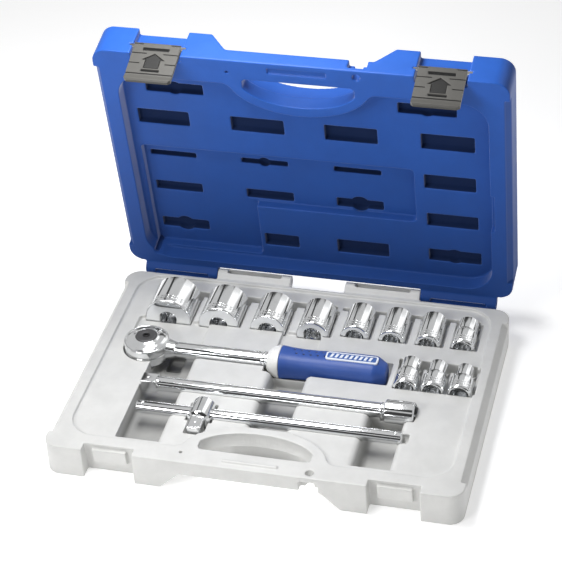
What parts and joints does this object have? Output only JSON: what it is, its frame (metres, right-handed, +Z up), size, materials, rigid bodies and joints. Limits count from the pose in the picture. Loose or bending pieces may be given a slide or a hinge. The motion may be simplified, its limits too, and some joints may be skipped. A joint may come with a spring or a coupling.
{
  "type": "socket wrench set in case",
  "caption": "Hinged plastic tool case with latched lid, holding half-inch-drive sockets, a reversible ratchet, an extension bar and a sliding T-bar.",
  "frame": {"origin": "centre of the lower shell's flat underside", "axes": "+X to the right as the open case is used, +Y to the hinge side at the back, +Z up"},
  "size_m": [0.37, 0.3021, 0.3038],
  "materials": {
    "shell_plastic": "satin, fine texture",
    "lid_plastic": "satin, fine texture",
    "latch_plastic": "satin",
    "grip_soft": "soft touch",
    "collar_plastic": "satin",
    "label_plate": "blank plate",
    "chrome": "polished",
    "steel": "plain"
  },
  "bodies": {
    "case": {"base_shell": "shell_plastic", "hinge_pin_left": "steel", "hinge_pin_right": "steel"},
    "lid": {"lid_shell": "lid_plastic", "latch_pin_left": "steel", "latch_pin_right": "steel"},
    "latch_left": {"latch_left": "latch_plastic"},
    "latch_right": {"latch_right": "latch_plastic"},
    "socket_32": {"socket_32": "chrome"},
    "socket_27": {"socket_27": "chrome"},
    "socket_24": {"socket_24": "chrome"},
    "socket_22": {"socket_22": "chrome"},
    "socket_19": {"socket_19": "chrome"},
    "socket_17": {"socket_17": "chrome"},
    "socket_16": {"socket_16": "chrome"},
    "socket_14": {"socket_14": "chrome"},
    "socket_13": {"socket_13": "chrome"},
    "socket_12": {"socket_12": "chrome"},
    "socket_10": {"socket_10": "chrome"},
    "ratchet": {"ratchet_body": "chrome", "ratchet_cover": "chrome", "ratchet_pawl": "steel", "ratchet_pawl_spring": "steel", "ratchet_collar": "collar_plastic", "ratchet_grip": "grip_soft", "ratchet_label": "label_plate"},
    "ratchet_drive": {"ratchet_gear": "steel", "ratchet_ball": "chrome", "ratchet_ball_spring": "steel", "ratchet_retaining_ring": "steel"},
    "ratchet_selector": {"ratchet_selector": "steel", "ratchet_selector_screw": "steel"},
    "extension": {"extension_bar": "chrome", "extension_ball": "chrome", "extension_ball_spring": "steel"},
    "tbar": {"tbar_rod": "chrome", "tbar_end_balls": "chrome", "tbar_end_springs": "steel"},
    "tbar_slider": {"tbar_slider": "chrome", "tbar_slider_balls": "chrome", "tbar_slider_springs": "steel"}
  },
  "joints": [
    {"name": "lid_hinge", "type": "hinge", "parent": "case", "child": "lid", "pos_m": [0, 0.139, 0.032], "axis": [-1, 0, 0], "range_deg": [-80, 25]},
    {"name": "latch_left_hinge", "type": "hinge", "parent": "lid", "child": "latch_left", "pos_m": [-0.126, 0.10421, 0.29841], "axis": [-1, 0, 0], "range_deg": [0, 95]},
    {"name": "latch_right_hinge", "type": "hinge", "parent": "lid", "child": "latch_right", "pos_m": [0.126, 0.10421, 0.29841], "axis": [-1, 0, 0], "range_deg": [0, 95]},
    {"name": "socket_32_lift", "type": "slide", "parent": "case", "child": "socket_32", "axis": [0, 0, 1], "range_m": [0, 0.045]},
    {"name": "socket_27_lift", "type": "slide", "parent": "case", "child": "socket_27", "axis": [0, 0, 1], "range_m": [0, 0.045]},
    {"name": "socket_24_lift", "type": "slide", "parent": "case", "child": "socket_24", "axis": [0, 0, 1], "range_m": [0, 0.045]},
    {"name": "socket_22_lift", "type": "slide", "parent": "case", "child": "socket_22", "axis": [0, 0, 1], "range_m": [0, 0.045]},
    {"name": "socket_19_lift", "type": "slide", "parent": "case", "child": "socket_19", "axis": [0, 0, 1], "range_m": [0, 0.045]},
    {"name": "socket_17_lift", "type": "slide", "parent": "case", "child": "socket_17", "axis": [0, 0, 1], "range_m": [0, 0.045]},
    {"name": "socket_16_lift", "type": "slide", "parent": "case", "child": "socket_16", "axis": [0, 0, 1], "range_m": [0, 0.045]},
    {"name": "socket_14_lift", "type": "slide", "parent": "case", "child": "socket_14", "axis": [0, 0, 1], "range_m": [0, 0.045]},
    {"name": "socket_13_lift", "type": "slide", "parent": "case", "child": "socket_13", "axis": [0, 0, 1], "range_m": [0, 0.045]},
    {"name": "socket_12_lift", "type": "slide", "parent": "case", "child": "socket_12", "axis": [0, 0, 1], "range_m": [0, 0.045]},
    {"name": "socket_10_lift", "type": "slide", "parent": "case", "child": "socket_10", "axis": [0, 0, 1], "range_m": [0, 0.045]},
    {"name": "ratchet_lift", "type": "slide", "parent": "case", "child": "ratchet", "axis": [0, 0, 1], "range_m": [0, 0.045]},
    {"name": "extension_lift", "type": "slide", "parent": "case", "child": "extension", "axis": [0, 0, 1], "range_m": [0, 0.045]},
    {"name": "tbar_lift", "type": "slide", "parent": "case", "child": "tbar", "axis": [0, 0, 1], "range_m": [0, 0.045]},
    {"name": "ratchet_drive_spin", "type": "hinge", "parent": "ratchet", "child": "ratchet_drive", "pos_m": [-0.135, 0.0225, 0.02], "axis": [0, 0, 1], "continuous": true},
    {"name": "ratchet_selector_turn", "type": "hinge", "parent": "ratchet", "child": "ratchet_selector", "pos_m": [-0.135, 0.0225, 0.04], "axis": [0, 0, 1], "range_deg": [0, 60]},
    {"name": "tbar_slider_slide", "type": "slide", "parent": "tbar", "child": "tbar_slider", "axis": [1, 0, 0], "range_m": [-0.0015, 0.0015]}
  ]
}
